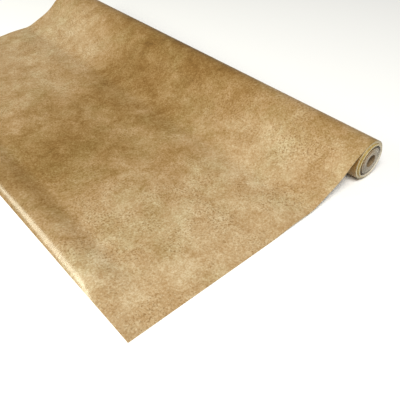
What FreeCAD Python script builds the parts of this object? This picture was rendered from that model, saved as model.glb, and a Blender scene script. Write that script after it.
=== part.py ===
# Roll of sign vinyl with its web drawn off over a bench.
#
# The web is printed PVC film on a pressure-sensitive adhesive and a release liner, wound on a board core.
# Millimetres and degrees. The core lies along X and the drawn-off web runs to -Y. The origin is the middle
# of the whole object's box, on the bench, with +Z up.

import FreeCAD, Part
import Sketcher
import math
import os

doc = FreeCAD.newDocument("sign_vinyl_roll")

# ---------------------------------------------------------------- driving dimensions

DIMENSIONS = [
    ("web_width", 610.0, "width of the web, a 24 inch roll"),
    ("film_thick", 0.10, "printed PVC film"),
    ("adhesive_thick", 0.03, "acrylic adhesive under the film"),
    ("liner_thick", 0.17, "clay-coated release liner"),
    ("roll_radius", 22.5, "outside of the last turn"),
    ("turn_gap", 0.30, "air between the last turn and the turns that rotate in it"),
    ("core_bore_radius", 7.0, "hole through the core"),
    ("core_lining_thick", 0.4, "kraft ply that lines the bore"),
    ("core_cover_thick", 0.4, "smooth ply that the web is wound on"),
    ("core_radius", 10.0, "outside of the core"),
    ("core_reach", 2.4, "how far the core stands out of the near end"),
    ("tape_thick", 0.10, "double-sided tape that starts the web"),
    ("tape_arc", 70.0, "angle of the core that the tape covers"),
    ("inner_turns_radius", 17.6, "outside of the turns that stay with the core"),
    ("inner_turns_reach", 2.3, "how far those turns stand out"),
    ("middle_turns_radius", 19.6, "outside of the middle turns"),
    ("middle_turns_reach", 2.1, "how far the middle turns stand out"),
    ("drawn_length", 308.0, "roll axis to the cut leading edge"),
    ("lead_depth", 45.0, "strip behind the leading edge that moves as one"),
    ("corner_leg", 40.0, "side of the film corner that peels"),
    ("lift_slope", 15.0, "slope of the web where it leaves the roll"),
    ("last_turn_end", 125.0, "angle where the last turn dips under the web"),
    ("crown_bend", 75.0, "radius of the web's bend over the roll's shoulder"),
    ("steep_slope", 40.0, "slope at the foot of that bend"),
    ("upper_bend", 80.0, "radius of the upper of the two hollow bends"),
    ("gentle_slope", 22.0, "slope between the hollow bends"),
    ("gentle_run", 24.0, "straight length between the hollow bends"),
    ("lower_bend", 40.0, "radius of the lower hollow bend"),
    ("ripple_slope", 0.5, "slope of the low ripple's top"),
    ("ripple_run", 12.0, "length of the ripple's top"),
    ("ripple_bend", 250.0, "radius of both bends of the ripple"),
    ("ripple_fall", 6.0, "steepest slope of the ripple"),
]

sheet = doc.addObject("Spreadsheet::Sheet", "dims")
for row, (alias, number, meaning) in enumerate(DIMENSIONS, start=1):
    sheet.set("A%d" % row, alias)
    sheet.set("B%d" % row, str(number))
    sheet.set("C%d" % row, meaning)
    sheet.setAlias("B%d" % row, alias)
doc.recompute()


def dim(alias):
    return float(sheet.get(alias))


# Places that several pieces share, as expressions over the sheet.
FAR_X = "-(dims.web_width + dims.core_reach) / 2"
NEAR_X = "(dims.web_width - dims.core_reach) / 2"
AXIS_Y = "(dims.drawn_length - dims.roll_radius) / 2"
AXIS_Z = "dims.roll_radius"
LEAD_Y = "-(dims.drawn_length + dims.roll_radius) / 2"

axis_y = (dim("drawn_length") - dim("roll_radius")) / 2
axis_z = dim("roll_radius")
web_thick = dim("film_thick") + dim("adhesive_thick") + dim("liner_thick")

# Each ply: its name, the height of its underside above the liner's, as an expression, and its thickness.
LINER_TOP = "dims.liner_thick"
ADHESIVE_TOP = "dims.liner_thick + dims.adhesive_thick"
PLIES = [
    ("liner", "0", "liner_thick"),
    ("adhesive", LINER_TOP, "adhesive_thick"),
    ("film", ADHESIVE_TOP, "film_thick"),
]

pieces = []

# ---------------------------------------------------------------- bodies, sketches and pads


def new_body(label):
    body = doc.addObject("PartDesign::Body", label)
    body.Label = label
    pieces.append(body)
    return body


def new_sketch(body, plane_role):
    sketch = body.newObject("Sketcher::SketchObject", body.Name + "_profile")
    for feature in body.Origin.OriginFeatures:
        if feature.Role == plane_role:
            sketch.AttachmentSupport = [(feature, "")]
    sketch.MapMode = "FlatFace"
    return sketch


def pad(body, sketch, length):
    feature = body.newObject("PartDesign::Pad", body.Name + "_pad")
    feature.Profile = sketch
    feature.setExpression("Length", length)
    sketch.Visibility = False
    return feature


def place(piece, x="0", y="0", z="0"):
    piece.setExpression(".Placement.Base.x", x)
    piece.setExpression(".Placement.Base.y", y)
    piece.setExpression(".Placement.Base.z", z)


def close_loop(sketch, first, last):
    """Join each curve's end to the next one's start, and the last to the first."""
    for index in range(first, last):
        sketch.addConstraint(Sketcher.Constraint("Coincident", index, 2, index + 1, 1))
    sketch.addConstraint(Sketcher.Constraint("Coincident", last, 2, first, 1))


def tube(label, inner_radius, outer_radius, reach):
    """A straight tube on the roll's axis, as long as the web is wide."""
    body = new_body(label)
    sketch = new_sketch(body, "YZ_Plane")
    upright = FreeCAD.Vector(0, 0, 1)
    for radius, guess in ((inner_radius, 1.0), (outer_radius, 2.0)):
        circle = sketch.addGeometry(Part.Circle(FreeCAD.Vector(0, 0, 0), upright, guess))
        sketch.addConstraint(Sketcher.Constraint("Coincident", circle, 3, -1, 1))
        size = sketch.addConstraint(Sketcher.Constraint("Radius", circle, guess))
        sketch.setExpression("Constraints[%d]" % size, radius)
    pad(body, sketch, "dims.web_width")
    place(body, FAR_X + " + " + reach, AXIS_Y, AXIS_Z)
    return body


def flat_ply(label, corners, height, thickness):
    """A flat piece. Corners are (back from the leading edge, in from the near edge) as alias or "0"."""
    body = new_body(label)
    sketch = new_sketch(body, "XY_Plane")
    points = []
    for back, inward in corners:
        points.append([0.0 if name == "0" else dim(name) for name in (back, inward)])
    for here, there in zip(points, points[1:] + points[:1]):
        start = FreeCAD.Vector(here[0], here[1], 0)
        end = FreeCAD.Vector(there[0], there[1], 0)
        sketch.addGeometry(Part.LineSegment(start, end))
    close_loop(sketch, 0, len(points) - 1)
    for index, (back, inward) in enumerate(corners):
        for kind, name, axis in (("DistanceX", back, -2), ("DistanceY", inward, -1)):
            if name == "0":
                sketch.addConstraint(Sketcher.Constraint("PointOnObject", index, 1, axis))
            else:
                size = sketch.addConstraint(Sketcher.Constraint(kind, -1, 1, index, 1, dim(name)))
                sketch.setExpression("Constraints[%d]" % size, "dims." + name)
    pad(body, sketch, thickness)
    body.Placement = FreeCAD.Placement(FreeCAD.Vector(), FreeCAD.Rotation(FreeCAD.Vector(0, 0, 1), 90))
    place(body, NEAR_X, LEAD_Y, height)
    return body


# ---------------------------------------------------------------- the web's path in the YZ plane
# Slope is the angle below horizontal that the web runs at, going from the roll to -Y. On the roll, slope
# plus 90 degrees is the angle round the axis from +Y, so the whole last turn is one bend too.


def upward(slope):
    """The direction square to the web, on its film side."""
    angle = math.radians(slope)
    return FreeCAD.Vector(-math.sin(angle), math.cos(angle), 0)


def onward(slope):
    """The direction that the web runs in."""
    angle = math.radians(slope)
    return FreeCAD.Vector(-math.cos(angle), -math.sin(angle), 0)


class Bend:
    """An arc of the liner's underside. The radius is negative where the centre is above the web."""

    def __init__(self, centre, radius, slope_from, slope_to):
        self.centre = centre
        self.radius = radius
        self.slopes = (slope_from, slope_to)
        self.end = self.at(slope_to, 0)

    def at(self, slope, height):
        return self.centre + upward(slope) * (self.radius + height)

    def curve(self, height, backward=False):
        first, last = self.slopes[::-1] if backward else self.slopes
        middle = (first + last) / 2
        return Part.Arc(self.at(first, height), self.at(middle, height), self.at(last, height))

    def edge(self, which, height):
        return self.at(self.slopes[which], height)


class Run:
    """A straight stretch of the liner's underside."""

    def __init__(self, start, slope, length):
        self.start = start
        self.slope = slope
        self.end = start + onward(slope) * length

    def curve(self, height, backward=False):
        ends = [self.edge(0, height), self.edge(1, height)]
        if backward:
            ends.reverse()
        return Part.LineSegment(ends[0], ends[1])

    def edge(self, which, height):
        return (self.start, self.end)[which] + upward(self.slope) * height


def bend_from(point, radius, slope_from, slope_to):
    return Bend(point - upward(slope_from) * radius, radius, slope_from, slope_to)


def last_turn_path():
    """The last turn, from where it dips under the drawn-off web round to where the web leaves the roll."""
    axis = FreeCAD.Vector(axis_y, axis_z, 0)
    dips = dim("last_turn_end") - 90 - 360
    return [Bend(axis, dim("roll_radius") - web_thick, dips, dim("lift_slope"))]


def span_path():
    """The web from the roll to the bench: over a crown, down through two hollow bends and a low ripple."""
    lift = dim("lift_slope")
    steep = dim("steep_slope")
    gentle = dim("gentle_slope")
    top = dim("ripple_slope")
    fall = dim("ripple_fall")
    bends_below_crown = [
        (-dim("upper_bend"), steep, gentle),
        (-dim("lower_bend"), gentle, top),
        (dim("ripple_bend"), top, fall),
        (-dim("ripple_bend"), fall, 0.0),
    ]
    crown = bend_from(last_turn_path()[0].end, dim("crown_bend"), lift, steep)
    # The steep straight takes up what height is left, so that the web ends on the bench.
    height_left = crown.end.y
    for radius, slope_from, slope_to in bends_below_crown:
        height_left -= radius * (math.cos(math.radians(slope_from)) - math.cos(math.radians(slope_to)))
    height_left -= dim("gentle_run") * math.sin(math.radians(gentle))
    height_left -= dim("ripple_run") * math.sin(math.radians(top))
    path = [crown, Run(crown.end, steep, height_left / math.sin(math.radians(steep)))]
    runs_after = {gentle: dim("gentle_run"), top: dim("ripple_run")}
    for radius, slope_from, slope_to in bends_below_crown:
        path.append(bend_from(path[-1].end, radius, slope_from, slope_to))
        if slope_to in runs_after:
            path.append(Run(path[-1].end, slope_to, runs_after[slope_to]))
    return path


def strip_along(label, path, low, high, far_x=FAR_X):
    """A ply that follows a path between two heights above it, across the web's whole width."""
    outline = [stretch.curve(low) for stretch in path]
    outline.append(Part.LineSegment(path[-1].edge(1, low), path[-1].edge(1, high)))
    outline += [stretch.curve(high, backward=True) for stretch in reversed(path)]
    outline.append(Part.LineSegment(path[0].edge(0, high), path[0].edge(0, low)))
    body = new_body(label)
    sketch = new_sketch(body, "YZ_Plane")
    sketch.addGeometry(outline, False)
    pad(body, sketch, "dims.web_width")
    place(body, far_x)
    return body


# ---------------------------------------------------------------- core and the turns wound on it


def make_core():
    lining_radius = "dims.core_bore_radius + dims.core_lining_thick"
    cover_radius = "dims.core_radius - dims.core_cover_thick"
    tube("core_bore_lining", "dims.core_bore_radius", lining_radius, "dims.core_reach")
    tube("core_tube", lining_radius, cover_radius, "dims.core_reach")
    tube("core_cover_ply", cover_radius, "dims.core_radius", "dims.core_reach")


def make_start_tape():
    axis = FreeCAD.Vector(axis_y, axis_z, 0)
    half = dim("tape_arc") / 2
    patch = [Bend(axis, dim("core_radius"), -half, half)]
    strip_along("start_tape", patch, 0.0, dim("tape_thick"), FAR_X + " + dims.inner_turns_reach")


def make_wound_turns():
    first_radius = "dims.core_radius + dims.tape_thick"
    inner_radius = "dims.inner_turns_radius"
    middle_radius = "dims.middle_turns_radius"
    last_radius = "dims.roll_radius - (%s + dims.film_thick) - dims.turn_gap" % ADHESIVE_TOP
    tube("inner_wound_turns", first_radius, inner_radius, "dims.inner_turns_reach")
    tube("middle_wound_turns", inner_radius, middle_radius, "dims.middle_turns_reach")
    tube("outer_wound_turns", middle_radius, last_radius, "0")


# ---------------------------------------------------------------- the web drawn off the roll


def make_last_turn_and_span():
    low = 0.0
    for ply, underside, thickness in PLIES:
        high = low + dim(thickness)
        strip_along("last_turn_" + ply, last_turn_path(), low, high)
        strip_along("span_" + ply, span_path(), low, high)
        low = high


def make_laid_web():
    """The flat web between the span's foot and the leading strip."""
    foot_y = span_path()[-1].end.x
    lead_back_y = -(dim("drawn_length") + dim("roll_radius")) / 2 + dim("lead_depth")
    for ply, underside, thickness in PLIES:
        box = doc.addObject("Part::Box", "laid_" + ply)
        box.Label = "laid_" + ply
        box.setExpression("Length", "dims.web_width")
        box.Width = foot_y - lead_back_y
        box.setExpression("Height", "dims." + thickness)
        place(box, FAR_X, LEAD_Y + " + dims.lead_depth", underside)
        pieces.append(box)


def make_leading_strip():
    """The strip at the cut edge. Its liner is whole, and the film and adhesive are split at the corner."""
    whole = [("0", "0"), ("lead_depth", "0"), ("lead_depth", "web_width"), ("0", "web_width")]
    split = [("corner_leg", "0")] + whole[1:] + [("0", "corner_leg")]
    for ply, underside, thickness in PLIES:
        corners = whole if ply == "liner" else split
        flat_ply("lead_" + ply, corners, underside, "dims." + thickness)


def make_film_corner():
    """The near corner of the film, which peels off the liner with the adhesive on its back."""
    triangle = [("0", "0"), ("corner_leg", "0"), ("0", "corner_leg")]
    for ply, underside, thickness in PLIES[1:]:
        flat_ply("corner_" + ply, triangle, underside, "dims." + thickness)


make_core()
make_start_tape()
make_wound_turns()
make_last_turn_and_span()
make_laid_web()
make_leading_strip()
make_film_corner()
doc.recompute()

# ---------------------------------------------------------------- checks, then one file for each piece

for item in doc.Objects:
    if "Invalid" in item.State or "Error" in item.State:
        raise RuntimeError("%s is in state %s" % (item.Label, item.State))
for piece in pieces:
    if piece.Shape.isNull() or not piece.Shape.isValid():
        raise RuntimeError("%s has no valid shape" % piece.Label)

os.makedirs("parts", exist_ok=True)
for piece in pieces:
    piece.Shape.exportStep("parts/%s.step" % piece.Label)
    box = piece.Shape.BoundBox
    print("%-20s %10.1f mm3" % (piece.Label, piece.Shape.Volume), end="")
    for axis, low, high in (("x", box.XMin, box.XMax), ("y", box.YMin, box.YMax), ("z", box.ZMin, box.ZMax)):
        print("  %s %8.2f %8.2f" % (axis, low, high), end="")
    print()
print("foot of the span at y = %.3f mm" % span_path()[-1].end.x)
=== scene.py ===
"""Looks for a roll of sign vinyl: printed film on a release liner, drawn off its core over a bench."""

import math

import bmesh
import bpy
from mathutils import Matrix, Vector, noise


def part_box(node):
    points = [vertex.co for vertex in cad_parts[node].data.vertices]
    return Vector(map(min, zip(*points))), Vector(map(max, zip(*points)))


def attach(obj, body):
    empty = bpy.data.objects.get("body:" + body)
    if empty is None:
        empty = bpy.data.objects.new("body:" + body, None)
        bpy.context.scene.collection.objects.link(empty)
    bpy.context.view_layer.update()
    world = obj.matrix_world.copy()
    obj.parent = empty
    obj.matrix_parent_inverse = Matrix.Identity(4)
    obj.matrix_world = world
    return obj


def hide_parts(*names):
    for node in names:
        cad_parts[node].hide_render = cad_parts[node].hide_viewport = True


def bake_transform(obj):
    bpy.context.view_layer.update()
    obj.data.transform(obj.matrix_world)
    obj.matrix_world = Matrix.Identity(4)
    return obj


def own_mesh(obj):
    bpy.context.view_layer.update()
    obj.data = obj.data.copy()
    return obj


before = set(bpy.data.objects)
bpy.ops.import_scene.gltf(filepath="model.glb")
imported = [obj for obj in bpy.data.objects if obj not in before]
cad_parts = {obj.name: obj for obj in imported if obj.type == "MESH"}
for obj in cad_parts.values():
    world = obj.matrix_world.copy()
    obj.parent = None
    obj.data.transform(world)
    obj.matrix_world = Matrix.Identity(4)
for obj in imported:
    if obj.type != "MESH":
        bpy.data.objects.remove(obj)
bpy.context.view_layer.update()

MM = 0.001

# ---------------------------------------------------------------- sizes of the web in the design

LINER_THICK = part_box("lead_liner")[1].z
WEB_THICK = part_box("lead_film")[1].z
FILM_BASE = LINER_THICK  # the film's adhesive lies on the liner

ROLL_LOW, ROLL_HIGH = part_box("last_turn_film")
ROLL_RADIUS = (ROLL_HIGH.z - ROLL_LOW.z) / 2
AXIS_Y = ROLL_HIGH.y - ROLL_RADIUS
AXIS_Z = ROLL_RADIUS
FAR_X = ROLL_LOW.x
NEAR_X = ROLL_HIGH.x
WEB_WIDTH = NEAR_X - FAR_X
LEAD_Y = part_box("lead_film")[0].y
LEAD_BACK_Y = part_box("lead_film")[1].y
FOOT_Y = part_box("laid_film")[1].y

# Slopes are in degrees, 0 on the roll's crown and on the bench, and grow as the web falls.
LIFT_SLOPE = 15.0                # where the web leaves the roll
STEEP_SLOPE = 40.0
LAST_TURN_DIPS = 35.0 - 360.0    # where the last turn dips under the drawn-off web, one turn back
# The web's path from the roll down to the bench: (radius, slope at the end) of each bend and
# (length,) of each straight. A radius is negative where the web is hollow.
SPAN = [
    (75 * MM, STEEP_SLOPE),
    (None,),                     # takes up the height that is left
    (-80 * MM, 22.0),
    (24 * MM,),
    (-40 * MM, 0.5),
    (12 * MM,),
    (250 * MM, 6.0),
    (-250 * MM, 0.0),
]
STEP = 2 * MM                    # between stations along the web


def hex_to_linear(code):
    """An sRGB hex colour as the linear values that a shader socket takes."""
    channels = [int(code[i : i + 2], 16) / 255 for i in (1, 3, 5)]
    return [c / 12.92 if c <= 0.04045 else ((c + 0.055) / 1.055) ** 2.4 for c in channels] + [1.0]


# ---------------------------------------------------------------- the web's path


class Station:
    """A point of the liner's underside, the slope there and the length of web from the leading edge."""

    def __init__(self, y, z, slope, length=0.0):
        self.y, self.z, self.slope, self.length = y, z, slope, length

    def at(self, height):
        """The point at that height above the liner's underside, as (y, z)."""
        angle = math.radians(self.slope)
        return self.y - math.sin(angle) * height, self.z + math.cos(angle) * height


def walk_arc(start, radius, slope_to):
    """Stations along an arc that begins at start, start left out."""
    turned = math.radians(slope_to - start.slope)
    count = max(2, round(abs(radius * turned) / STEP))
    first = math.radians(start.slope)
    centre_y = start.y + math.sin(first) * radius
    centre_z = start.z - math.cos(first) * radius
    found = []
    for k in range(1, count + 1):
        angle = first + turned * k / count
        y, z = centre_y - math.sin(angle) * radius, centre_z + math.cos(angle) * radius
        found.append(Station(y, z, math.degrees(angle)))
    return found


def walk_line(start, length):
    """Stations along a straight that begins at start, start left out."""
    count = max(1, round(length / STEP))
    angle = math.radians(start.slope)
    along_y, along_z = -math.cos(angle) * length / count, -math.sin(angle) * length / count
    return [Station(start.y + along_y * k, start.z + along_z * k, start.slope) for k in range(1, count + 1)]


def drop_of(bend, slope_from):
    """The height that a bend takes off."""
    radius, slope_to = bend
    return radius * (math.cos(math.radians(slope_from)) - math.cos(math.radians(slope_to)))


def last_turn_stations():
    """The last turn, from where it dips under the drawn-off web to where the web leaves the roll."""
    radius = ROLL_RADIUS - WEB_THICK
    angle = math.radians(LAST_TURN_DIPS)
    start = Station(AXIS_Y - math.sin(angle) * radius, AXIS_Z + math.cos(angle) * radius, LAST_TURN_DIPS)
    return [start] + walk_arc(start, radius, LIFT_SLOPE)


def span_stations(start):
    """The web from the roll to its foot on the bench, start left out."""
    height_left, slope = start.z, start.slope
    for stretch in SPAN:
        if len(stretch) == 2:
            height_left -= drop_of(stretch, slope)
            slope = stretch[1]
        elif stretch[0]:
            height_left -= stretch[0] * math.sin(math.radians(slope))
    steep_run = height_left / math.sin(math.radians(STEEP_SLOPE))
    stations = [start]
    for stretch in SPAN:
        if len(stretch) == 2:
            stations += walk_arc(stations[-1], *stretch)
        else:
            stations += walk_line(stations[-1], stretch[0] or steep_run)
    return stations[1:]


def measured(stations, length_at_end):
    """The stations with their length from the leading edge filled in, given that of the last one."""
    stations[-1].length = length_at_end
    for here, there in zip(reversed(stations[:-1]), reversed(stations[1:])):
        here.length = there.length + math.hypot(here.y - there.y, here.z - there.z)
    return stations


turn = last_turn_stations()
span = measured(turn + span_stations(turn[-1]), FOOT_Y - LEAD_Y)

# ---------------------------------------------------------------- how the laid web really lies

CURL_DEPTH = 16 * MM    # length of web behind the cut edge that curls down
CURL_SLOPE = 44.0       # its slope at the cut edge, in degrees
CURL_NEAR = 15 * MM     # no curl this close to the near edge
CURL_FULL = 80 * MM     # full curl from here on
LEAD_DEPTH = LEAD_BACK_Y - LEAD_Y
LEAST_CURL = 1e-4       # a slope, in radians, too small to draw


def smooth(t):
    """An even start and end on the way from 0 to 1."""
    t = min(1.0, max(0.0, t))
    return t * t * (3 - 2 * t)


def curl_share(x):
    """The web keeps the roll's curl along its cut edge, and lies flat at the near corner."""
    return smooth((NEAR_X - x - CURL_NEAR) / (CURL_FULL - CURL_NEAR))


def curled(x, length):
    """(y, z, slope) of the liner's underside on the leading strip, that length from the cut edge."""
    share = curl_share(x)
    peak = math.radians(CURL_SLOPE) * share
    if peak < LEAST_CURL:
        return LEAD_Y + length, 0.0, 0.0
    # Slope falls evenly to nothing over the curl, so both reaches are those of an arc.
    radius = CURL_DEPTH / peak
    slope = peak * max(0.0, 1 - length / CURL_DEPTH)
    y = radius * (math.sin(peak) - math.sin(slope))
    z = radius * (math.cos(slope) - math.cos(peak))
    if length > CURL_DEPTH:
        back = (length - CURL_DEPTH) / (LEAD_DEPTH - CURL_DEPTH)
        z *= (1 + math.cos(math.pi * back)) / 2
        rise = radius * (1 - math.cos(peak)) * math.pi / 2 / (LEAD_DEPTH - CURL_DEPTH)
        slope = -math.atan(rise * math.sin(math.pi * back))
        # The shortfall of the curl is made up over the rest of the strip.
        y = y + (LEAD_DEPTH - y) * back
    return LEAD_Y + y, z, math.degrees(slope)


# ---------------------------------------------------------------- meshes

SHARP_CORNER = math.radians(35)
PLAIN_TONE = 0.5


def new_object(name, vertices, faces, slots, materials, uvs, tones):
    """A mesh with its web coordinates in metres, and a tone for each point of its cut edges."""
    mesh = bpy.data.meshes.new(name)
    mesh.from_pydata(vertices, [], faces)
    for material in materials:
        mesh.materials.append(material)
    mesh.polygons.foreach_set("material_index", slots)
    layer = mesh.uv_layers.new(name="web")
    flat = [value for loop in mesh.loops for value in uvs[loop.vertex_index]]
    layer.data.foreach_set("uv", flat)
    mesh.attributes.new("tone", "FLOAT", "POINT").data.foreach_set("value", tones)
    sharpen(mesh)
    piece = bpy.data.objects.new(name, mesh)
    bpy.context.scene.collection.objects.link(piece)
    return piece


def sharpen(mesh):
    """Smooth shading, with a sharp edge wherever the mesh turns a corner."""
    work = bmesh.new()
    work.from_mesh(mesh)
    bmesh.ops.recalc_face_normals(work, faces=work.faces)
    for face in work.faces:
        face.smooth = True
    for edge in work.edges:
        edge.smooth = edge.calc_face_angle(0.0) < SHARP_CORNER
    work.to_mesh(mesh)
    work.free()
    mesh.update()


def slab(name, rows, columns, point, materials, tone=None):
    """A thin closed sheet. point(row, column, side) gives the place and the web coordinates of a point
    on its lower side, 0, or its upper side, 1. Materials: lower side, upper side, cut edges."""
    keys = [(i, j, side) for i in range(rows) for j in range(columns) for side in (0, 1)]
    index = {key: number for number, key in enumerate(keys)}
    places, uvs = zip(*[point(*key) for key in keys])
    tones = [tone(i) if tone else PLAIN_TONE for i, j, side in keys]
    faces, slots = [], []
    for i in range(rows - 1):
        for j in range(columns - 1):
            around = [(i, j), (i, j + 1), (i + 1, j + 1), (i + 1, j)]
            faces.append([index[(*corner, 0)] for corner in around])
            faces.append([index[(*corner, 1)] for corner in reversed(around)])
            slots += [0, 1]
    rim = [(0, j) for j in range(columns - 1)]
    rim += [(i, columns - 1) for i in range(rows - 1)]
    rim += [(rows - 1, j) for j in range(columns - 1, 0, -1)]
    rim += [(i, 0) for i in range(rows - 1, 0, -1)]
    for here, there in zip(rim, rim[1:] + rim[:1]):
        faces.append([index[(*there, 0)], index[(*here, 0)], index[(*here, 1)], index[(*there, 1)]])
        slots.append(2)
    return new_object(name, places, faces, slots, materials, uvs, tones)


# ---------------------------------------------------------------- materials


def add_node(tree, kind, settings=None, **links):
    """Adds a node and gives it back. Settings are its properties, or its inputs' values by name or
    number, and stops are a colour ramp's. A link names an input, with _ for a space, or gives i and
    its number, and takes the node or the output to join to it."""
    node = tree.nodes.new(kind)
    for key, value in (settings or {}).items():
        if key == "stops":
            elements = node.color_ramp.elements
            while len(elements) < len(value):
                elements.new(1.0)
            for element, (place, code) in zip(elements, value):
                element.position = place
                element.color = hex_to_linear(code)
        elif isinstance(key, int) or key in node.inputs:
            node.inputs[key].default_value = value
        else:
            setattr(node, key, value)
    for key, source in links.items():
        socket = node.inputs[int(key[1:]) if key[1:].isdigit() else key.replace("_", " ")]
        output = source if isinstance(source, bpy.types.NodeSocket) else source.outputs[0]
        tree.links.new(output, socket)
    return node


def new_material(name, **sockets):
    """A material, its node tree and its shader. Sockets are the shader's own, with _ for a space."""
    material = bpy.data.materials.new(name)
    material.use_nodes = True
    shader = material.node_tree.nodes["Principled BSDF"]
    for key, value in sockets.items():
        shader.inputs[key.replace("_", " ")].default_value = value
    return material, material.node_tree, shader


# The print, as a tone from 0, dark brown, to 1, pale gold. Each layer is noise: the size of its
# largest patches, its seed, how much finer detail it holds, its swirl and how strong it is.
PRINT_LAYERS = [
    {"size": 85 * MM, "seed": 4.7, "detail": 4.0, "rough": 0.55, "swirl": 0.5, "strength": 0.40},
    {"size": 24 * MM, "seed": 11.0, "detail": 4.0, "rough": 0.62, "swirl": 0.6, "strength": 0.60},
    {"size": 6 * MM, "seed": 9.1, "detail": 3.0, "rough": 0.70, "swirl": 0.4, "strength": 0.34},
    {"size": 1.7 * MM, "seed": 1.4, "detail": 2.0, "rough": 0.80, "swirl": 0.0, "strength": 0.80},
]
DRIFT_SPACING = 480 * MM   # from one brown drift to the next
DRIFT_PLACE = 50 * MM      # where a drift's middle meets the leading edge, across the web
DRIFT_SLANT = 0.2          # how far it moves across the web for each step along it
DRIFT_WANDER = 200 * MM    # how far the noise moves it to and fro
DRIFT_STRENGTH = 0.13
PRINT_MIDDLE = 0.50        # middle tone of the drawn web
# The wound turns' print is made paler and yellower: painted light.
PAINTED_LIGHT_MIDDLE = 0.82       # and that of the wound turns, which are paler
DARKENS_FROM = 250 * MM    # length of web from the cut edge
DARKENS_TO = 330 * MM
DARKENS_BY = 0.16
GLOSS_FROM = 10 * MM       # the coat is full from the cut edge to here, and gone at the next
GLOSS_TO = 26 * MM
FILM_COLOURS = [
    (0.04, "#644721"), (0.26, "#836333"), (0.42, "#997C4E"), (0.54, "#A98C64"),
    (0.66, "#B69E78"), (0.80, "#C7B491"), (0.97, "#D9CAAC"),
]
TINTS = [(0.35, "#FBFFFC"), (0.50, "#FFFDFC"), (0.65, "#FFFAF7")]  # olive, plain and rose
# The wound turns' yellower tints are painted light.
PAINTED_LIGHT_TINTS = [(0.35, "#F6FFD8"), (0.65, "#FAFFDE")]  # the wound turns look yellower than the rest


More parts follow.
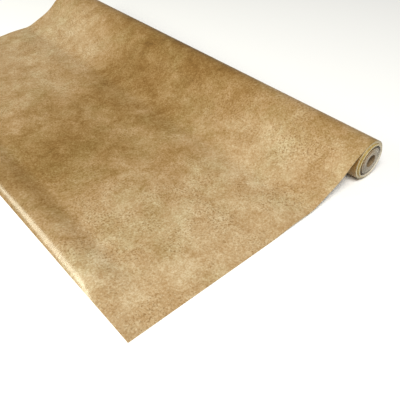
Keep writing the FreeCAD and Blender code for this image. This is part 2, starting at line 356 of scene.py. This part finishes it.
def printed_vinyl(name, tints, middle_tone):
    """Calendered PVC film, gravure-printed with an antique parchment mottle in browns on gold, under
    a satin coat. The eye sees broad brown drifts, pale clouds, worn patches of fine brown flecks and
    a soft sheen that brightens where the web bends."""
    material, tree, shader = new_material(
        name, IOR=1.5, Roughness=0.4, Specular_IOR_Level=0.22, Coat_Roughness=0.19, Coat_IOR=1.5
    )
    web = add_node(tree, "ShaderNodeUVMap", {"uv_map": "web"})
    parts = add_node(tree, "ShaderNodeSeparateXYZ", i0=web)
    wander = add_node(
        tree, "ShaderNodeTexNoise",
        {"noise_dimensions": "4D", "W": 11.7, "Scale": 1 / (130 * MM), "Detail": 3.0}, Vector=web,
    )
    # The drifts run slantwise over the web and wander to both sides.
    slant = add_node(
        tree, "ShaderNodeMath", {"operation": "MULTIPLY_ADD", 1: DRIFT_SLANT},
        i0=parts.outputs[1], i2=parts,
    )
    wandered = add_node(
        tree, "ShaderNodeMath", {"operation": "MULTIPLY_ADD", 1: DRIFT_WANDER}, i0=wander, i2=slant
    )
    turn_per_metre = 2 * math.pi / DRIFT_SPACING
    middle = DRIFT_PLACE + DRIFT_WANDER / 2
    phase = add_node(
        tree, "ShaderNodeMath",
        {"operation": "MULTIPLY_ADD", 1: turn_per_metre, 2: -math.pi / 2 - middle * turn_per_metre},
        i0=wandered,
    )
    drift = add_node(tree, "ShaderNodeMath", {"operation": "SINE"}, i0=phase)
    base = middle_tone - sum(layer["strength"] for layer in PRINT_LAYERS) / 2
    tone = add_node(
        tree, "ShaderNodeMath", {"operation": "MULTIPLY_ADD", 1: DRIFT_STRENGTH, 2: base}, i0=drift
    )
    # Along the web the colour is made darker, from where it climbs to the roll and on the turns behind.
    darker = add_node(
        tree, "ShaderNodeMapRange",
        {"interpolation_type": "SMOOTHSTEP", 1: DARKENS_FROM, 2: DARKENS_TO, 4: -DARKENS_BY},
        i0=parts.outputs[1],
    )
    tone = add_node(tree, "ShaderNodeMath", {"operation": "ADD"}, i0=tone, i1=darker)
    for layer in PRINT_LAYERS:
        patches = add_node(
            tree, "ShaderNodeTexNoise",
            {
                "noise_dimensions": "4D", "W": layer["seed"], "Scale": 1 / layer["size"],
                "Detail": layer["detail"], "Roughness": layer["rough"], "Distortion": layer["swirl"],
            },
            Vector=web,
        )
        tone = add_node(
            tree, "ShaderNodeMath", {"operation": "MULTIPLY_ADD", 1: layer["strength"]}, i0=patches, i2=tone
        )
    colour = add_node(tree, "ShaderNodeValToRGB", {"stops": FILM_COLOURS}, Fac=tone)
    # Some clouds lean to olive and some to rose.
    hue = add_node(
        tree, "ShaderNodeTexNoise",
        {"noise_dimensions": "4D", "W": 6.6, "Scale": 1 / (48 * MM), "Detail": 5.0, "Roughness": 0.6},
        Vector=web,
    )
    tint = add_node(tree, "ShaderNodeValToRGB", {"stops": tints}, Fac=hue)
    tinted = add_node(
        tree, "ShaderNodeMix", {"data_type": "RGBA", "blend_type": "MULTIPLY", 0: 1.0}, i6=colour, i7=tint
    )
    # Brown flecks a millimetre or two long gather where the print looks worn, in patches a few
    # centimetres wide.
    worn = add_node(
        tree, "ShaderNodeTexNoise",
        {"noise_dimensions": "4D", "W": 4.4, "Scale": 1 / (42 * MM), "Detail": 4.0, "Roughness": 0.62},
        Vector=web,
    )
    patch = add_node(
        tree, "ShaderNodeMapRange",
        {"interpolation_type": "SMOOTHSTEP", 1: 0.40, 2: 0.62, 3: 0.18, 4: 0.66}, i0=worn,
    )
    specks = add_node(
        tree, "ShaderNodeTexNoise",
        {"noise_dimensions": "4D", "W": 7.7, "Scale": 1 / (2.0 * MM), "Detail": 2.0, "Distortion": 0.6},
        Vector=web,
    )
    sharp = add_node(tree, "ShaderNodeMapRange", {1: 0.51, 2: 0.63}, i0=specks)
    cover = add_node(tree, "ShaderNodeMath", {"operation": "MULTIPLY"}, i0=patch, i1=sharp)
    flecked = add_node(
        tree, "ShaderNodeMix", {"data_type": "RGBA", 7: hex_to_linear("#79572A")}, i0=cover,
        i6=tinted.outputs[2],
    )
    tree.links.new(flecked.outputs[2], shader.inputs["Base Color"])
    # The satin finish is a little uneven.
    satin = add_node(tree, "ShaderNodeMapRange", {1: 0.3, 2: 0.7, 3: 0.36, 4: 0.46}, i0=worn)
    tree.links.new(satin.outputs[0], shader.inputs["Roughness"])
    # The strip behind the cut edge is glossier than the rest, and its curl shows a bright line.
    gloss = add_node(
        tree, "ShaderNodeMapRange",
        {"interpolation_type": "SMOOTHSTEP", 1: GLOSS_FROM, 2: GLOSS_TO, 3: 1.0, 4: 0.0},
        i0=parts.outputs[1],
    )
    tree.links.new(gloss.outputs[0], shader.inputs["Coat Weight"])
    # Calendering leaves a very low orange peel.
    peel = add_node(tree, "ShaderNodeTexNoise", {"Scale": 1 / (1.6 * MM), "Detail": 2.0}, Vector=web)
    bump = add_node(tree, "ShaderNodeBump", {"Strength": 0.12, "Distance": 0.05 * MM}, Height=peel)
    tree.links.new(bump.outputs[0], shader.inputs["Normal"])
    return material


def release_paper():
    """Clay-coated kraft liner, supercalendered and siliconed: warm white with a faint cloud of
    fibres drawn out along the web, smooth and low in sheen."""
    material, tree, shader = new_material("ReleasePaper", IOR=1.5, Roughness=0.48)
    web = add_node(tree, "ShaderNodeUVMap", {"uv_map": "web"})
    drawn = add_node(tree, "ShaderNodeMapping", {"Scale": (1 / (6 * MM), 1 / (15 * MM), 1)}, Vector=web)
    fibre = add_node(
        tree, "ShaderNodeTexNoise", {"Scale": 1.0, "Detail": 5.0, "Roughness": 0.65}, Vector=drawn
    )
    stops = [(0.25, "#D2C9B5"), (0.5, "#DFD8C8"), (0.75, "#EAE5D8")]
    colour = add_node(tree, "ShaderNodeValToRGB", {"stops": stops}, Fac=fibre)
    tree.links.new(colour.outputs[0], shader.inputs["Base Color"])
    sheen = add_node(tree, "ShaderNodeMapRange", {1: 0.3, 2: 0.7, 3: 0.42, 4: 0.55}, i0=fibre)
    tree.links.new(sheen.outputs[0], shader.inputs["Roughness"])
    bump = add_node(tree, "ShaderNodeBump", {"Strength": 0.15, "Distance": 0.04 * MM}, Height=fibre)
    tree.links.new(bump.outputs[0], shader.inputs["Normal"])
    return material


def acrylic_adhesive():
    """Solvent acrylic adhesive, cast on the white back of the film: cool white, wet-looking, with a
    fine orange peel that breaks up its gloss."""
    material, tree, shader = new_material("AcrylicAdhesive", IOR=1.47, Roughness=0.22)
    web = add_node(tree, "ShaderNodeUVMap", {"uv_map": "web"})
    peel = add_node(tree, "ShaderNodeTexNoise", {"Scale": 1 / (1.2 * MM), "Detail": 2.0}, Vector=web)
    stops = [(0.3, "#D3D3CD"), (0.7, "#E4E3DE")]
    colour = add_node(tree, "ShaderNodeValToRGB", {"stops": stops}, Fac=peel)
    tree.links.new(colour.outputs[0], shader.inputs["Base Color"])
    bump = add_node(tree, "ShaderNodeBump", {"Strength": 0.3, "Distance": 0.05 * MM}, Height=peel)
    tree.links.new(bump.outputs[0], shader.inputs["Normal"])
    return material


SMEAR = 0.4  # how much of the tone a smear takes or gives


def slit_edge(name, stops):
    """Edge of a ply, cut by a slitting blade: matt, and each turn lighter or darker as it was cut
    and handled, with painted shade on turns that lie back. A slow smear of grey runs over the turns."""
    material, tree, shader = new_material(name, IOR=1.5, Roughness=0.7)
    tone = add_node(tree, "ShaderNodeAttribute", {"attribute_name": "tone"})
    place = add_node(tree, "ShaderNodeTexCoord")
    smear = add_node(
        tree, "ShaderNodeTexNoise", {"Scale": 1 / (9 * MM), "Detail": 3.0}, Vector=place.outputs["Object"]
    )
    smeared = add_node(
        tree, "ShaderNodeMath", {"operation": "MULTIPLY_ADD", 1: SMEAR}, i0=smear, i2=tone.outputs["Fac"]
    )
    centred = add_node(tree, "ShaderNodeMath", {"operation": "SUBTRACT", 1: SMEAR / 2}, i0=smeared)
    colour = add_node(tree, "ShaderNodeValToRGB", {"stops": stops}, Fac=centred)
    tree.links.new(colour.outputs[0], shader.inputs["Base Color"])
    return material


SEAM_LEAD = 60 * MM    # a ply's strip is this wide along the core, and its seam turns once in that
SEAM_SHARE = 0.02      # the seam's own share of the strip


def wound_board(name, stops):
    """Grey board or kraft, wound in a spiral round a mandrel and glued: matt, with short fibres, a
    slow blotch of old glue, and the seam of its ply climbing round it."""
    material, tree, shader = new_material(name, IOR=1.5, Roughness=0.82)
    place = add_node(tree, "ShaderNodeTexCoord").outputs["Object"]
    fibre = add_node(
        tree, "ShaderNodeTexNoise",
        {"Scale": 1 / (1.8 * MM), "Detail": 4.0, "Roughness": 0.7, "Distortion": 0.3}, Vector=place,
    )
    blotch = add_node(tree, "ShaderNodeTexNoise", {"Scale": 1 / (14 * MM), "Detail": 3.0}, Vector=place)
    web = add_node(tree, "ShaderNodeUVMap", {"uv_map": "web"})
    parts = add_node(tree, "ShaderNodeSeparateXYZ", i0=web)
    climb = add_node(
        tree, "ShaderNodeMath", {"operation": "MULTIPLY_ADD", 1: 1 / SEAM_LEAD},
        i0=parts, i2=parts.outputs[1],
    )
    within = add_node(tree, "ShaderNodeMath", {"operation": "FRACT"}, i0=climb)
    seam = add_node(
        tree, "ShaderNodeMapRange",
        {"interpolation_type": "SMOOTHSTEP", 1: SEAM_SHARE, 2: 0.0, 4: 1.0}, i0=within,
    )
    mixed = add_node(tree, "ShaderNodeMath", {"operation": "MULTIPLY_ADD", 1: 0.5}, i0=blotch, i2=fibre)
    seamed = add_node(tree, "ShaderNodeMath", {"operation": "MULTIPLY_ADD", 1: -0.3}, i0=seam, i2=mixed)
    colour = add_node(tree, "ShaderNodeValToRGB", {"stops": stops}, Fac=seamed)
    tree.links.new(colour.outputs[0], shader.inputs["Base Color"])
    bump = add_node(tree, "ShaderNodeBump", {"Strength": 0.5, "Distance": 0.06 * MM}, Height=seamed)
    tree.links.new(bump.outputs[0], shader.inputs["Normal"])
    return material


def paper_tape():
    """Creped masking tape that starts the web on the core: pale tan, matt, with close cross ridges."""
    material, tree, shader = new_material("CrepePaperTape", IOR=1.5, Roughness=0.7)
    place = add_node(tree, "ShaderNodeTexCoord").outputs["Object"]
    creped = add_node(tree, "ShaderNodeMapping", {"Scale": (1 / (8 * MM), 1 / MM, 1 / MM)}, Vector=place)
    ridges = add_node(tree, "ShaderNodeTexNoise", {"Scale": 1.0, "Detail": 3.0}, Vector=creped)
    stops = [(0.3, "#C7B283"), (0.7, "#DAC9A0")]
    colour = add_node(tree, "ShaderNodeValToRGB", {"stops": stops}, Fac=ridges)
    tree.links.new(colour.outputs[0], shader.inputs["Base Color"])
    bump = add_node(tree, "ShaderNodeBump", {"Strength": 0.6, "Distance": 0.08 * MM}, Height=ridges)
    tree.links.new(bump.outputs[0], shader.inputs["Normal"])
    return material


film_print = printed_vinyl("PrintedVinyl", TINTS, PRINT_MIDDLE)
# A paler, yellower copy of the print for the wound turns: painted light.
painted_light_print = printed_vinyl("PaintedLightPrintedVinyl", PAINTED_LIGHT_TINTS, PAINTED_LIGHT_MIDDLE)
liner_paper = release_paper()
adhesive = acrylic_adhesive()
film_edge = slit_edge("FilmSlitEdge", [(0.0, "#6D6456"), (0.5, "#B5A478"), (1.0, "#EAD9A4")])
liner_edge = slit_edge("LinerSlitEdge", [(0.0, "#8B867C"), (0.5, "#C9C0AC"), (1.0, "#F4EBCF")])
# Greyer edges for the core's turns. The dark end of the ramp is painted shade where they lie back.
grey_painted_shade_edge = slit_edge("GreyPaintedShadeSlitEdge", [(0.0, "#3C3226"), (0.5, "#8E8779"), (1.0, "#D8D0BE")])
grey_board = wound_board("WoundGreyBoard", [(0.5, "#7F7666"), (0.75, "#94897A"), (1.0, "#A89E8C")])
pale_ply = wound_board("PaleCoverPly", [(0.5, "#A39A88"), (0.75, "#B5AC99"), (1.0, "#C6BDAA")])
kraft = wound_board("KraftLining", [(0.5, "#66543A"), (0.75, "#7B664A"), (1.0, "#8E7857")])
tape = paper_tape()

# ---------------------------------------------------------------- the drawn web

COLUMNS = 81        # of mesh across the web
LEAD_COLUMNS = 241  # more of them, for the curl
LAID_ROWS = 28
CURL_ROWS = 14
REST_ROWS = 24      # behind the curl


def across(j, columns=COLUMNS):
    """The place across the web of a column of its mesh."""
    return FAR_X + WEB_WIDTH * j / (columns - 1)


def strip_of_stations(name, stations, low, high, materials):
    """A ply of the web along its stations, from one height over the liner's underside to another."""
    def point(i, j, side):
        y, z = stations[i].at(high if side else low)
        x = across(j)
        return (x, y, z), (x, stations[i].length)

    return slab(name, len(stations), COLUMNS, point, materials)


def laid_strip(name, low, high, materials):
    """The flat web between the leading strip and the span's foot."""
    def point(i, j, side):
        y = FOOT_Y + (LEAD_BACK_Y - FOOT_Y) * i / (LAID_ROWS - 1)
        x = across(j)
        return (x, y, high if side else low), (x, y - LEAD_Y)

    return slab(name, LAID_ROWS, COLUMNS, point, materials)


def leading_strip(name, low, high, materials):
    """The strip at the cut edge, with its curl."""
    lengths = [CURL_DEPTH * k / CURL_ROWS for k in range(CURL_ROWS)]
    rest = LEAD_DEPTH - CURL_DEPTH
    lengths += [CURL_DEPTH + rest * k / REST_ROWS for k in range(REST_ROWS + 1)]
    lengths.reverse()

    def point(i, j, side):
        x = across(j, LEAD_COLUMNS)
        y, z, slope = curled(x, lengths[i])
        height = high if side else low
        angle = math.radians(slope)
        return (x, y - math.sin(angle) * height, z + math.cos(angle) * height), (x, lengths[i])

    return slab(name, len(lengths), LEAD_COLUMNS, point, materials)


film_sides = [adhesive, film_print, film_edge]
liner_sides = [liner_paper, liner_paper, liner_edge]

film_span = strip_of_stations("film_last_turn_and_span", span, FILM_BASE, WEB_THICK, film_sides)
liner_span = strip_of_stations("liner_last_turn_and_span", span, 0.0, LINER_THICK, liner_sides)
film_laid = laid_strip("film_laid", FILM_BASE, WEB_THICK, film_sides)
liner_laid = laid_strip("liner_laid", 0.0, LINER_THICK, liner_sides)
film_lead = leading_strip("film_leading_strip", FILM_BASE, WEB_THICK, film_sides)
liner_lead = leading_strip("liner_leading_strip", 0.0, LINER_THICK, liner_sides)

# ---------------------------------------------------------------- the turns still wound

PITCH = WEB_THICK
SEGMENTS = 90       # to a turn


def wound_stations(outer, inner, pitch, length_at_start):
    """A spiral of web from the outer radius in to the inner one, as radii of the film's outside."""
    found = []
    length = length_at_start
    for k in range(round((outer - inner) / pitch * SEGMENTS) + 1):
        radius = outer - pitch * k / SEGMENTS
        slope = LAST_TURN_DIPS - 360 * k / SEGMENTS
        angle = math.radians(slope)
        base = radius - WEB_THICK
        station = Station(AXIS_Y - math.sin(angle) * base, AXIS_Z + math.cos(angle) * base, slope, length)
        station.radius = radius
        found.append(station)
        length += radius * 2 * math.pi / SEGMENTS
    return found


def wound_ply(name, stations, low, high, materials):
    """A ply of the wound turns, sunk, set out and toned as each turn is, with painted shade on the turns
    that lie back.
    """
    def point(i, j, side):
        y, z = stations[i].at(high if side else low)
        drop_y, drop_z = sag(stations[i])
        x = (FAR_X, NEAR_X)[j] + reach(stations[i])
        return (x, y + drop_y, z + drop_z), (x, stations[i].length)

    return slab(name, len(stations), 2, point, materials, lambda i: edge_tone(stations[i]))


INNER_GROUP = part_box("inner_wound_turns")
MIDDLE_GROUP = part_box("middle_wound_turns")
OUTER_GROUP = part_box("outer_wound_turns")
CORE_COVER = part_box("core_cover_ply")


def radius_of(box):
    """The radius of a round piece that lies along the roll."""
    return (box[1].z - box[0].z) / 2


def reach_of(box):
    """How far a piece stands out of the near end."""
    return box[1].x - NEAR_X


SLACK = 1.1 * MM        # the core's own turns are this much smaller than the turns round them
SINKS_BACK = 0.8        # shares of the slack by which they have sunk to the back and down
SINKS_DOWN = 0.6
LOOSE_PITCH = 0.34 * MM
COVER_GAP = 0.1 * MM    # between the core's cover and the innermost turn
# Radii where the core's turns step out, and how far. The outermost of them lie back behind the rest.
LEDGES = ((14.7 * MM, 0.9 * MM), (12.4 * MM, 0.35 * MM))
LEDGE_RISE = 0.8        # turns that a ledge takes to step out
GROUP_RISE = 0.3        # and the middle group's first turn
STRAY_REACH = 0.2 * MM  # how far a turn stands off its neighbours at most
STRAY_GRAIN = 0.8 * MM  # of roll radius, for one stray turn
STRAY_DRIFT = 700       # degrees of winding over which it changes
# Tones of the cut edges: a middle, and how far single turns stray from it. The step keeps one
# turn's tone from following the next one's.
TONE_STEP = 3.7
OUTER_TONE = (0.62, 0.25)
# Painted shade: the core's outer turns, which lie back behind the rest, are toned dark.
RECESS_SHADE_TONE = (0.1, 0.2)
CORE_TONE = (0.5, 0.3)
RIM_TONE = (0.95, 0.3)
RIM_TURNS = 1.5         # how many turns deep a ledge's pale rim is


def is_inner(station):
    """Whether a turn is one of the core's own."""
    return station.radius < radius_of(INNER_GROUP)


def sag(station):
    """The core's loose turns have sunk in the turns round them, down and to the back."""
    if not is_inner(station):
        return 0, 0
    share = (station.radius - radius_of(CORE_COVER)) / (radius_of(INNER_GROUP) - radius_of(CORE_COVER))
    return SINKS_BACK * SLACK * share, -SINKS_DOWN * SLACK * share


def reach(station):
    """How far a turn stands out of the near end: in steps, with each turn a hair off its neighbours."""
    if is_inner(station):
        step = reach_of(INNER_GROUP) - sum(out for ledge, out in LEDGES)
        for ledge, out in LEDGES:
            step += out * smooth((ledge - station.radius) / (LEDGE_RISE * PITCH))
    else:
        risen = (radius_of(MIDDLE_GROUP) - station.radius) / (GROUP_RISE * PITCH)
        step = reach_of(MIDDLE_GROUP) * smooth(risen)
    stray = noise.noise(Vector((station.radius / STRAY_GRAIN, station.slope / STRAY_DRIFT, 2.5)))
    return step + stray * STRAY_REACH


def edge_tone(station):
    """Outer turns are cut clean and pale. The core's turns are greyer, with painted shade where they
    lie back, and pale on the ledges' rims."""
    turn = int((ROLL_RADIUS - station.radius) / PITCH)
    stray = noise.noise(Vector((turn * TONE_STEP, 0.5, 0.5)))
    if not is_inner(station):
        middle, range_of_stray = OUTER_TONE
    elif station.radius > LEDGES[0][0]:
        middle, range_of_stray = RECESS_SHADE_TONE
    elif any(0 <= ledge - station.radius < RIM_TURNS * PITCH for ledge, out in LEDGES):
        middle, range_of_stray = RIM_TONE
    else:
        middle, range_of_stray = CORE_TONE
    return middle + range_of_stray * stray


# The wound turns' film wears the paler, yellower print: painted light.
painted_light_sides = [adhesive, painted_light_print, film_edge]
outer_stations = wound_stations(
    radius_of(OUTER_GROUP), radius_of(INNER_GROUP) + PITCH, PITCH, span[0].length
)
inner_stations = wound_stations(
    radius_of(INNER_GROUP) - SLACK, radius_of(CORE_COVER) + COVER_GAP + PITCH, LOOSE_PITCH,
    outer_stations[-1].length,
)
film_wound = wound_ply("film_wound_turns", outer_stations, FILM_BASE, WEB_THICK, painted_light_sides)
liner_wound = wound_ply("liner_wound_turns", outer_stations, 0.0, LINER_THICK, liner_sides)
# The core's turns have grey cut edges, with painted shade where they lie back.
film_inner = wound_ply(
    "film_inner_turns", inner_stations, FILM_BASE, WEB_THICK, [adhesive, film_print, grey_painted_shade_edge]
)
liner_inner = wound_ply(
    "liner_inner_turns", inner_stations, 0.0, LINER_THICK, [liner_paper, liner_paper, grey_painted_shade_edge]
)

# ---------------------------------------------------------------- the core

RUB = 0.12 * MM         # how far a cut corner is rubbed round
TUBE_SEGMENTS = 120


def board_tube(name, node, thick, materials):
    """A ply of the core as a turned tube with its cut corners rubbed round."""
    low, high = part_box(node)
    outside = radius_of((low, high))
    inside = outside - thick
    rub = min(RUB, thick / 3)
    profile = [
        (low.x, inside + rub), (low.x, outside - rub), (low.x + rub, outside),
        (high.x - rub, outside), (high.x, outside - rub), (high.x, inside + rub),
        (high.x - rub, inside), (low.x + rub, inside),
    ]
    vertices, faces, uvs = [], [], []
    for k in range(TUBE_SEGMENTS):
        angle = 2 * math.pi * k / TUBE_SEGMENTS
        for x, radius in profile:
            vertices.append((x, AXIS_Y + math.cos(angle) * radius, AXIS_Z + math.sin(angle) * radius))
            uvs.append((x, k / TUBE_SEGMENTS))
    for k in range(TUBE_SEGMENTS):
        for p in range(len(profile)):
            here, there = k * len(profile), (k + 1) % TUBE_SEGMENTS * len(profile)
            after = (p + 1) % len(profile)
            faces.append([here + p, here + after, there + after, there + p])
    ends = [1, 0, 0, 0, 1, 0, 0, 0]  # the profile's sides that are cut ends
    tones = [PLAIN_TONE] * len(vertices)
    return new_object(name, vertices, faces, ends * TUBE_SEGMENTS, materials, uvs, tones)


LINING_THICK = 0.4 * MM
COVER_THICK = 0.4 * MM
lining = board_tube("core_lining", "core_bore_lining", LINING_THICK, [kraft, pale_ply])
wall = radius_of(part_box("core_tube")) - radius_of(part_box("core_bore_lining"))
tube = board_tube("core_wall", "core_tube", wall, [grey_board, grey_board])
cover = board_tube("core_cover", "core_cover_ply", COVER_THICK, [pale_ply, pale_ply])

# ---------------------------------------------------------------- what rides on what

for piece, ply, slot in ((film_span, "film", "vinyl_film"), (liner_span, "liner", "release_liner")):
    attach(piece, "drawn_web")
    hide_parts("last_turn_" + ply, "span_" + ply)
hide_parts("last_turn_adhesive", "span_adhesive")

for piece, ply, slot in ((film_laid, "film", "vinyl_film"), (liner_laid, "liner", "release_liner")):
    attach(piece, "drawn_web")
    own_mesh(piece)
    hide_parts("laid_" + ply)
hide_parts("laid_adhesive")

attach(liner_lead, "leading_web")
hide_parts("lead_liner")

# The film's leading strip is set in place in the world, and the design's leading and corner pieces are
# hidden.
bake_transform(film_lead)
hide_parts("lead_film", "lead_adhesive", "corner_film", "corner_adhesive")

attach(film_wound, "wound_turns")
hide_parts("outer_wound_turns", "middle_wound_turns")
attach(liner_wound, "wound_turns")

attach(film_inner, "core")
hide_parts("inner_wound_turns")
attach(liner_inner, "core")
for piece, node in ((lining, "core_bore_lining"), (tube, "core_tube"), (cover, "core_cover_ply")):
    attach(piece, "core")
    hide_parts(node)

start_tape = bpy.data.objects["start_tape"]
start_tape.data.materials.clear()
start_tape.data.materials.append(tape)

# ---------------------------------------------------------------- floor, light and camera

BENCH_SIZE = 8.0
BENCH_BELOW = 0.05 * MM  # so that it doesn't lie in the web's underside


def make_floor():
    """A matt white laminate bench top."""
    material, tree, shader = new_material("WhiteLaminate", IOR=1.5, Roughness=0.7)
    shader.inputs["Base Color"].default_value = hex_to_linear("#FBFBFA")
    bpy.ops.mesh.primitive_plane_add(size=BENCH_SIZE, location=(0, 0, -BENCH_BELOW))
    floor = bpy.context.object
    floor.name = "bench_top"
    floor.data.materials.append(material)


SOFTBOXES = [
    {   # large and overhead, to the near end
        "name": "overhead", "place": (0.95, -0.85, 2.0), "size": (1.3, 1.1),
        "watts": 63.0, "colour": "#FFFDF8",
    },
    {   # long and low, off the leading edge: it gives the curl of the cut edge its bright line
        "name": "edge_light", "place": (-0.62, -0.86, 0.67), "size": (0.8, 0.34),
        "watts": 6.6, "colour": "#FDFFEA",
    },
]
LIGHT_TARGET = Vector((0.1, LEAD_Y, 0))
ROOM_COLOUR = "#F1F3F8"
ROOM_STRENGTH = 0.2


def make_light():
    """A softly lit room and two softboxes, and colours shown as they are."""
    world = bpy.data.worlds.new("studio")
    world.use_nodes = True
    background = world.node_tree.nodes["Background"]
    background.inputs["Color"].default_value = hex_to_linear(ROOM_COLOUR)
    background.inputs["Strength"].default_value = ROOM_STRENGTH
    bpy.context.scene.world = world
    for softbox in SOFTBOXES:
        light = bpy.data.lights.new(softbox["name"], "AREA")
        light.shape = "RECTANGLE"
        light.size, light.size_y = softbox["size"]
        light.energy = softbox["watts"]
        light.color = hex_to_linear(softbox["colour"])[:3]
        lamp = bpy.data.objects.new(softbox["name"], light)
        lamp.location = softbox["place"]
        lamp.rotation_euler = (LIGHT_TARGET - lamp.location).to_track_quat("-Z", "Y").to_euler()
        lamp.visible_camera = False
        bpy.context.scene.collection.objects.link(lamp)
    bpy.context.scene.view_settings.view_transform = "Standard"


# The camera stands off the roll's near end, over the web, and looks back along the roll.
CAMERA_AZIMUTH = math.radians(49.52)
CAMERA_ELEVATION = math.radians(41.69)
CAMERA_ROLL = math.radians(-0.69)
CAMERA_FROM_ROLL_END = Vector((198.5, -402.4, 336.6)) * MM
CAMERA_LENS = 44.46
CAMERA_SENSOR = 36
CAMERA_CLIP = 0.01


def make_camera():
    """The camera at its place, level but for its roll."""
    data = bpy.data.cameras.new("camera")
    data.lens = CAMERA_LENS
    data.sensor_width = CAMERA_SENSOR
    data.clip_start = CAMERA_CLIP
    camera = bpy.data.objects.new("camera", data)
    level, rise = math.cos(CAMERA_ELEVATION), math.sin(CAMERA_ELEVATION)
    back = Vector((math.sin(CAMERA_AZIMUTH) * level, -math.cos(CAMERA_AZIMUTH) * level, rise))
    right = Vector((math.cos(CAMERA_AZIMUTH), math.sin(CAMERA_AZIMUTH), 0))
    up = back.cross(right)
    turned_right = right * math.cos(CAMERA_ROLL) + up * math.sin(CAMERA_ROLL)
    turned_up = up * math.cos(CAMERA_ROLL) - right * math.sin(CAMERA_ROLL)
    axes = Matrix((turned_right, turned_up, back)).transposed().to_4x4()
    place = Vector((NEAR_X, AXIS_Y, 0)) + CAMERA_FROM_ROLL_END
    camera.matrix_world = Matrix.Translation(place) @ axes
    bpy.context.scene.collection.objects.link(camera)
    bpy.context.scene.camera = camera


make_floor()
make_light()
make_camera()
